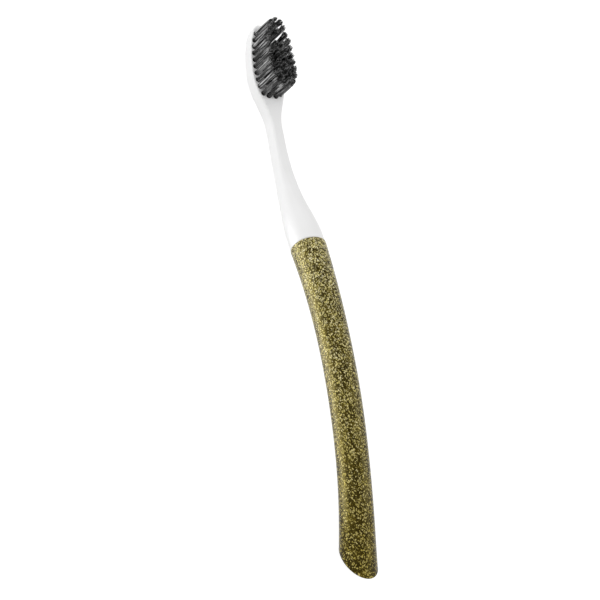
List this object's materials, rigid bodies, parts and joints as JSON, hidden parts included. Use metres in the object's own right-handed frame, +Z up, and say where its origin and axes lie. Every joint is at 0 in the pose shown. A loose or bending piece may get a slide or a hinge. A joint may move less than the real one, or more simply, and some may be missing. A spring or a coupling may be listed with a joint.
{
  "type": "manual toothbrush",
  "caption": "Manual toothbrush: white head and neck with upright black bristle tufts, plugged into a bowed speckled composite handle with a slant-cut end.",
  "frame": {"origin": "on the table under the middle of the brush, which lies on its back", "axes": "+X along the brush to the tip of the head, +Y to the left, +Z up, the way the bristles point"},
  "size_m": [0.19, 0.012, 0.0187],
  "materials": {
    "composite": "satin, speckled with pale and dark plant fibre",
    "head_plastic": "satin white",
    "bristle_nylon": "satin black filament",
    "anchor_brass": "plain strip"
  },
  "bodies": {
    "handle": {"handle": "composite"},
    "head": {"brush_head": "head_plastic", "tuft_anchors": "anchor_brass", "tuft_centre_1": "bristle_nylon", "tuft_centre_2": "bristle_nylon", "tuft_centre_3": "bristle_nylon", "tuft_outer_left_1": "bristle_nylon", "tuft_outer_right_1": "bristle_nylon", "tuft_outer_left_2": "bristle_nylon", "tuft_outer_right_2": "bristle_nylon", "tuft_outer_left_3": "bristle_nylon", "tuft_outer_right_3": "bristle_nylon", "tuft_outer_left_4": "bristle_nylon", "tuft_outer_right_4": "bristle_nylon", "tuft_outer_left_5": "bristle_nylon", "tuft_outer_right_5": "bristle_nylon", "tuft_outer_left_6": "bristle_nylon", "tuft_outer_right_6": "bristle_nylon", "tuft_outer_left_7": "bristle_nylon", "tuft_outer_right_7": "bristle_nylon", "tuft_outer_left_8": "bristle_nylon", "tuft_outer_right_8": "bristle_nylon", "tuft_outer_left_9": "bristle_nylon", "tuft_outer_right_9": "bristle_nylon", "tuft_outer_left_10": "bristle_nylon", "tuft_outer_right_10": "bristle_nylon", "tuft_inner_left_1": "bristle_nylon", "tuft_inner_right_1": "bristle_nylon", "tuft_inner_left_2": "bristle_nylon", "tuft_inner_right_2": "bristle_nylon", "tuft_inner_left_3": "bristle_nylon", "tuft_inner_right_3": "bristle_nylon", "tuft_inner_left_4": "bristle_nylon", "tuft_inner_right_4": "bristle_nylon", "tuft_inner_left_5": "bristle_nylon", "tuft_inner_right_5": "bristle_nylon", "tuft_inner_left_6": "bristle_nylon", "tuft_inner_right_6": "bristle_nylon", "tuft_inner_left_7": "bristle_nylon", "tuft_inner_right_7": "bristle_nylon"}
  },
  "joints": [
    {"name": "head_release", "type": "slide", "parent": "handle", "child": "head", "axis": [0.9755, 0, -0.2198], "range_m": [0, 0.02]}
  ]
}
